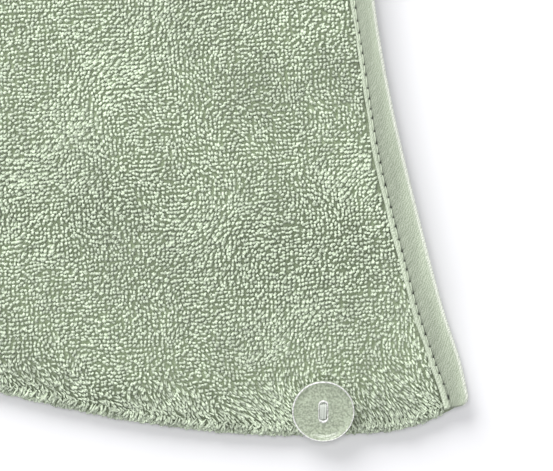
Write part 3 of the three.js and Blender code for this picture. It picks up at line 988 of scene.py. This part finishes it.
FOLD_HIGHLIGHT = np.array([0.85, 0.72, 0.95])  # painted highlight: how much paler the outer fold is painted
# Distance up the tape in mm and its tone there
tone_rows = [(0, 0.9), (22, 0.94), (46, 1.02), (77, 0.83), (110, 0.88), (160, 0.9)]


def tape_shade(across, along):
    """Painted light and shade on the tape: painted shade in the needle holes, in the stitch groove and
    beside the stitches, painted highlights on the lip and towards the outer fold.
    """
    edge, hole = across - STITCH_LINE, from_hole(along)
    inner = np.exp(np.minimum(edge, 0) / 2.2) * (edge < 0.35)
    # Painted shade beside the stitches, painted light towards the fold
    light = 0.96 - 0.2 * inner + 0.26 * smooth(1 - across / 4.2)
    # A painted dark line in the stitch groove and a painted highlight on the raised lip
    light = light - 0.2 * bell(edge + 0.2, 0.3) + 0.42 * smooth((edge - 0.2) / 0.35)
    # Painted shade fanning out from each needle hole
    light = light * (1 - 0.16 * bell(hole + 0.45 * edge, 0.45) * inner * (edge < 0))
    # Painted shade in the needle holes
    dark = np.exp(-((hole / 0.46) ** 4) - ((edge + HOLE_SET) / 0.32) ** 4)
    light = light * (1 - 0.96 * dark) * (1 + 0.03 * np.sin(along / 3.7 + across))
    light = light * np.interp(along, *np.transpose(tone_rows))
    # Painted highlight on the outer fold
    fold = smooth((0.45 - across) / 0.8)
    light = light[..., None] + fold[..., None] * FOLD_HIGHLIGHT
    return np.concatenate([light, np.ones_like(light[..., :1])], axis=-1)


def make_binding(name, node, base_height, fine_step, coarse_step, steps):
    length = lengths_along(opening_line)[-1]
    end_round = END_ROUND * (1 - np.cos(np.linspace(0, pi / 2, 16)[:-1]))
    seen = np.arange(END_ROUND, NEAR_LENGTH, fine_step)
    beyond = np.arange(NEAR_LENGTH, length, coarse_step)
    stations = np.concatenate([end_round, seen, beyond, [length]])
    on_edge = resample_at(opening_line, stations)
    ahead = resample_at(opening_line, np.minimum(stations + 0.5, length))
    along = unit(ahead - resample_at(opening_line, np.maximum(stations - 0.5, 0)))
    inward = left_of(along)
    section, top_start, top_end = binding_section(steps)
    across = np.broadcast_to(section[:, 0], (len(stations), len(section)))
    up = np.broadcast_to(section[:, 1], across.shape).copy()
    place = np.broadcast_to(stations[:, None], across.shape)
    relief = tape_relief(across, place)
    up[:, top_start:top_end] += relief[:, top_start:top_end]
    # The lower end is turned in, and its outer corner is rounded
    end = 1 - smooth(stations / 0.6)
    up = lerp(up, BOUND_STACK / 2, (0.5 * end**2)[:, None])
    lay = np.where(across > 0, across * tape_share(on_edge[:, 1])[:, None], across)
    wobble = 0.12 * np.sin(place / 4.1) + 0.08 * np.sin(place / 2.3 + 1)
    grown = LIP_GROWTH[0] + LIP_GROWTH[1] * (1 - smooth(place / 20))
    lay = lay + (wobble + grown) * smooth((across - STITCH_LINE) / LIP_WIDTH)
    lay = lay - stitch_drift(place) * smooth(across / STITCH_LINE)
    t = np.clip(1 - stations / END_ROUND, 0, 1)
    corner = END_ROUND * (1 - np.sqrt(1 - t * t))
    share = np.clip((6 - across) / (6 + CLEARANCE + TAPE_WALL), 0, 1)
    lay = lay + corner[:, None] * share
    past = END_RUN * (1 - smooth(place / 6))
    flat = on_edge[:, None] + inward[:, None] * lay[..., None] - along[:, None] * past[..., None]
    flat = flat.reshape(-1, 2)
    heights = (base_height(flat).reshape(across.shape) + up).reshape(-1)
    points = np.c_[flat, heights]
    quads = grid_quads(len(stations), len(section), close_columns=True)
    piece = make_piece(name, points, quads, tape)
    set_vectors(piece, "cloth", across, place, up)
    set_colours(piece, "shade", tape_shade(across, place))
    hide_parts(node)
    return piece


def front_base(points):
    return FRONT_BASE + pocket_lift(points, distance_to(seam_edge, points))


def floor_base(points):
    return np.zeros(len(points))


front_tape = make_binding("front_bias_tape", "front_binding", front_base, 0.36, 1.2, 26)
back_tape = make_binding("back_bias_tape", "back_binding", floor_base, 1.2, 1.2, 12)


def thread_tubes(middle, radius, sides):
    """A tube round each of several centre lines, given as (lines, stations, 3)."""
    along = unit(np.gradient(middle, axis=1))
    side = unit(np.cross(along, [0.0, 0.0, 1.0]) + 1e-6)
    return strand_mesh(middle, side, np.cross(side, along), radius[..., None], sides)


def make_stitches():
    """Light thread between the needle holes, sunk at both ends."""
    length = lengths_along(opening_line)[-1]
    places = np.arange(0, length, 0.02)
    holes = from_hole(places)
    starts = places[1:][(np.diff(holes) > 0) & (holes[:-1] < 0) & (holes[1:] >= 0)]
    first, last = starts[1:-1], starts[2:]
    t = np.linspace(0, 1, 9)
    places = lerp(first[:, None] + 0.3, last[:, None] - 0.3, t[None])
    line = resample_at(opening_line, places.ravel())
    inward = left_of(unit(resample_at(opening_line, places.ravel() + 0.5) - line))
    lay = random.normal(0, 0.04, len(first))[:, None] + 0.14 * (0.5 - t[None])
    lay = lay.ravel() - stitch_drift(places.ravel())
    offset = ((STITCH_LINE + 0.08) * tape_share(line[:, 1]) + lay)[:, None]
    flat = line + inward * offset
    arch = (0.32 * np.sin(pi * t) ** 0.5 - 0.14)[None] + np.zeros_like(places)
    height = front_base(flat) + BOUND_STACK - 0.12 + arch.ravel()
    middle = np.c_[flat, height].reshape(len(first), len(t), 3)
    radius = STITCH_RADIUS * (0.55 + 0.45 * np.sin(pi * t)) * np.ones_like(places)
    points, quads = thread_tubes(middle, radius, 8)
    piece = make_piece("binding_stitches", points, quads, stitch_thread)
    return piece


stitches = make_stitches()


# Button

_, button_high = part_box("button")
BUTTON_SIDES = 96
DISH_LEVEL = 0.66  # share of the thickness
BUTTON_FLOOR = DISH_LEVEL * BUTTON_THICKNESS
SLOT_HALF = (SLOT_LENGTH - SLOT_WIDTH) / 2  # from its middle to where its round ends start
# Radius and height shares, from the middle of the underside over the raised rim to the dish
button_rows = [
    (0, 0), (0.9, 0), (0.965, 0.06), (0.99, 0.22), (0.995, 0.45), (0.99, 0.75), (0.975, 0.92),
    (0.955, 0.98), (0.93, 0.95), (0.9, 0.86), (0.87, 0.77), (0.82, 0.71), (0.76, 0.68),
    (0.7, 0.67),
    *((radius, DISH_LEVEL) for radius in (0.62, 0.54, 0.46, 0.38, 0.3, 0.22, 0.14, 0.07, 0)),
]
TILT_COS, TILT_SIN = cos(BUTTON_TILT), sin(BUTTON_TILT)
RIM_CROWN = 0.93  # share of the radius where the tilted rim is highest
button_rise = RIM_CROWN * BUTTON_RADIUS * TILT_SIN + BUTTON_THICKNESS * TILT_COS
button_place = np.array([-BUTTON_INSET, -BUTTON_DROP, button_high[2] / MM - button_rise])


def tilt_points(points):
    x, y, z = points.T
    tilted = [x, TILT_COS * y - TILT_SIN * z, TILT_SIN * y + TILT_COS * z]
    return np.column_stack(tilted) + button_place


def lathe(rows, sides):
    angle = 2 * pi * np.arange(sides) / sides
    rows = np.array(rows, float)
    x = rows[:, 0, None] * np.cos(angle)
    y = rows[:, 0, None] * np.sin(angle)
    z = np.broadcast_to(rows[:, 1, None], x.shape)
    return np.stack([x, y, z], axis=-1).reshape(-1, 3), grid_quads(len(rows), sides, close_columns=True)


def cutter(name, points, quads):
    mesh = bpy.data.meshes.new(name)
    mesh.from_pydata([tuple(p) for p in points], [], [tuple(q) for q in quads[:, ::-1]])
    piece = add_object(name, mesh)
    weld(piece)
    return piece


def make_button():
    profile = [(r * BUTTON_RADIUS, h * BUTTON_THICKNESS) for r, h in button_rows]
    body = cutter("button_blank", *lathe(profile, BUTTON_SIDES))
    low, high = BUTTON_FLOOR - SLOT_DEPTH, BUTTON_FLOOR + 3
    points, quads = lathe([(0, low), (SLOT_WIDTH / 2, low), (SLOT_WIDTH / 2, high), (0, high)], 40)
    y = points[:, 1]
    points[:, 1] = y + np.where(np.abs(y) > 1e-6, np.sign(y) * SLOT_HALF, 0)
    tools = [cutter("slot_cut", points, quads)]
    for side in (-1, 1):
        points, quads = lathe([(0, -1), (HOLE_RADIUS, -1), (HOLE_RADIUS, 4), (0, 4)], 28)
        points[:, 1] += side * HOLE_SPACING / 2
        tools.append(cutter(f"hole_cut_{side}", points, quads))
    for tool in tools:
        cut = body.modifiers.new(tool.name, "BOOLEAN")
        cut.object = tool
        cut.operation = "DIFFERENCE"
        cut.solver = "EXACT"
    view = bpy.context.evaluated_depsgraph_get()
    done = bpy.data.meshes.new_from_object(body.evaluated_get(view))
    for item in [body, *tools]:
        bpy.data.objects.remove(item)
    count = len(done.vertices)
    found = np.empty(count * 3, np.float32)
    done.vertices.foreach_get("co", found)
    placed = (tilt_points(found.reshape(-1, 3).astype(float)) + CORNER) * MM
    done.vertices.foreach_set("co", placed.astype(np.float32).ravel())
    done.materials.clear()
    done.materials.append(resin)
    piece = add_object("clear_button", done)
    facing = [0, -TILT_SIN, TILT_COS]
    for polygon in done.polygons:
        polygon.use_smooth = abs(np.dot(polygon.normal, facing)) < 0.999
    done.update()
    done.set_sharp_from_angle(angle=radians(38))
    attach(piece, "root")
    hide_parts("button")


def closed_tube(route, radius, sides=12):
    """A tube round a closed line in the button's own flat plane."""
    along = unit(np.roll(route, -1, axis=0) - np.roll(route, 1, axis=0))
    outward = np.c_[-left_of(along), np.zeros(len(route))]
    turn = 2 * pi * np.arange(sides)[:, None] / sides
    ring = outward[:, None] * np.cos(turn) + np.array([0, 0, 1.0]) * np.sin(turn)
    points = route[:, None] + radius[:, None, None] * ring
    return points.reshape(-1, 3), grid_quads(len(route), sides, close_rows=True, close_columns=True)


def make_button_edge_highlights():
    """Painted highlights as beads of whiter resin on the raised edges: round the button, round its slot
    and round the upper hole.
    """
    turn = np.linspace(0, 2 * pi, 128, endpoint=False)
    circle = np.c_[np.cos(turn), np.sin(turn), 0 * turn]
    low, high = smooth(-circle[:, 1]), smooth(circle[:, 1])
    lit = smooth(0.5 + circle @ [-0.4, 0.5, 0])
    rim = circle * (0.972 * BUTTON_RADIUS) + [0, 0, BUTTON_THICKNESS - 0.15]
    ends = SLOT_HALF * np.sign(circle[:, 1]) - 0.22 * (circle[:, 1] > 0)
    slot = circle * (SLOT_WIDTH / 2 - 0.14) + np.c_[0 * turn, ends, 0 * turn + BUTTON_FLOOR]
    hole = circle[::2] * (HOLE_RADIUS - 0.05) + [0, HOLE_SPACING / 2, BUTTON_FLOOR - SLOT_DEPTH]
    points, quads, start = [], [], 0
    # Painted highlights: the beads are thicker on the lit side of the rim and at the slot's ends, most
    # at the lower one
    for route, radius in (
        (rim, 0.19 + 0.07 * lit),
        (slot, 0.19 + 0.22 * low**2 + 0.16 * high),
        (hole, np.full(len(hole), 0.14)),
    ):
        found, faces = closed_tube(route, radius)
        points.append(found)
        quads.append(faces + start)
        start += len(found)
    piece = make_piece("button_edge_highlights", tilt_points(np.vstack(points)), np.vstack(quads), highlight_resin)


# Across the slot, and how far each strand lies above the middle one's level
strand_rows = [(-0.86, -0.05), (-0.5, -0.14), (-0.08, 0.14), (0.36, -0.16), (0.78, 0.02)]


def make_button_thread():
    """Strands side by side from the upper hole to the lower one."""
    t = np.linspace(0, 1, 29)
    bend = np.where(t < 0.5, 0.38, 0.15)  # share of each half that turns down into its hole
    ends = np.maximum(np.abs(2 * t - 1) - (1 - bend), 0) / bend
    level = BUTTON_FLOOR - SLOT_DEPTH + 0.22 + 0.35 * np.sin(pi * t**0.8)
    level = level - np.where(t < 0.5, 1.2, 0.8) * ends**1.3
    strands = []
    for x, lift in strand_rows:
        side = (x + 0.08 * np.sin(4 * t + x)) * (1 - 0.3 * ends)
        strands.append(np.c_[side, lerp(2.7, -2.9, t), level + lift])
    middle = np.array(strands)
    points, quads = thread_tubes(middle, np.full(middle.shape[:2], THREAD_RADIUS), 10)
    piece = make_piece("sewing_thread", tilt_points(points), quads, button_thread)
    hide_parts("button_thread")


make_button()
make_button_edge_highlights()
make_button_thread()


# Tail loop


def make_tail_loop():
    """A flat folded tape that leaves the seam at the tail tip and turns back."""
    radius = (LOOP_SPAN - LOOP_TAPE_WIDTH) / 2
    start = BODY_LENGTH - 2
    centre = -TAIL_INSET - TAIL_WIDTH / 2
    straight = BODY_LENGTH + LOOP_REACH - LOOP_TAPE_WIDTH / 2 - radius
    turn = np.radians(np.linspace(0, 180, 60))
    arc = np.c_[centre + radius * np.cos(turn), straight + radius * np.sin(turn)]
    route = resample(np.vstack([[(centre + radius, start)], arc, [(centre - radius, start)]]), 140)
    outward = -left_of(unit(np.gradient(route, axis=0)))
    half, wall = LOOP_TAPE_WIDTH / 2, LOOP_TAPE_WALL
    turn = 2 * pi * np.arange(28) / 28
    side = np.sign(np.cos(turn)) * np.abs(np.cos(turn)) ** 0.45 * half
    lift = wall / 2 + np.sign(np.sin(turn)) * np.abs(np.sin(turn)) ** 0.6 * wall / 2
    lift = lift - 0.12 * bell(np.abs(side) - 0.72 * half, 0.25) * (np.sin(turn) > 0)
    seam_level = BOUND_STACK + CLEARANCE / 2 - wall / 2
    level = seam_level * (1 - smooth((route[:, 1] - BODY_LENGTH) / (0.45 * LOOP_REACH)))
    flat = route[:, None] + outward[:, None] * side[None, :, None]
    height = level[:, None] + lift[None]
    points = np.c_[flat.reshape(-1, 2), height.ravel()]
    quads = grid_quads(len(route), len(turn), close_columns=True)[:, ::-1]
    piece = make_piece("loop_tape", points, quads, tape)
    set_vectors(piece, "cloth", side[None], lengths_along(route)[:, None], height)
    set_colours(piece, "shade", np.full((len(points), 4), 1.0))
    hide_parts("tail_loop")


make_tail_loop()


# Floor and light

FLOOR_HALF = 3.0
FLOOR_LEVEL = -0.0002
LIT_PLACE = np.array([-0.06, 0.05, 0.0])  # what the lights face, in metres from the nape corner


def make_floor():
    half = FLOOR_HALF
    corners = [(-half, -half), (half, -half), (half, half), (-half, half)]
    mesh = bpy.data.meshes.new("floor")
    mesh.from_pydata([(x, y, FLOOR_LEVEL) for x, y in corners], [], [(0, 1, 2, 3)])
    mesh.materials.append(floor_look)
    floor = add_object("floor", mesh)


def add_light(name, direction, distance, size, power):
    data = bpy.data.lights.new(name, "AREA")
    data.shape = "DISK"
    data.size = size
    data.energy = power
    light = add_object(name, data)
    way = unit(np.array(direction, float))
    light.location = CORNER * MM + LIT_PLACE + way * distance
    x, y, z = way
    light.rotation_euler = (atan2(hypot(x, y), z), 0, atan2(y, x) + pi / 2)


make_floor()
add_light("key", (-0.58, 1.05, 0.88), 1.9, 1.4, 38)
add_light("overhead", (-0.02, 0.02, 1), 1.9, 0.9, 21)

world = bpy.data.worlds.new("studio")
bpy.context.scene.world = world
world.use_nodes = True
background = world.node_tree.nodes["Background"]
background.inputs["Color"].default_value = (0.99, 0.99, 1.02, 1)
background.inputs["Strength"].default_value = 0.35
bpy.context.scene.view_settings.view_transform = "Standard"
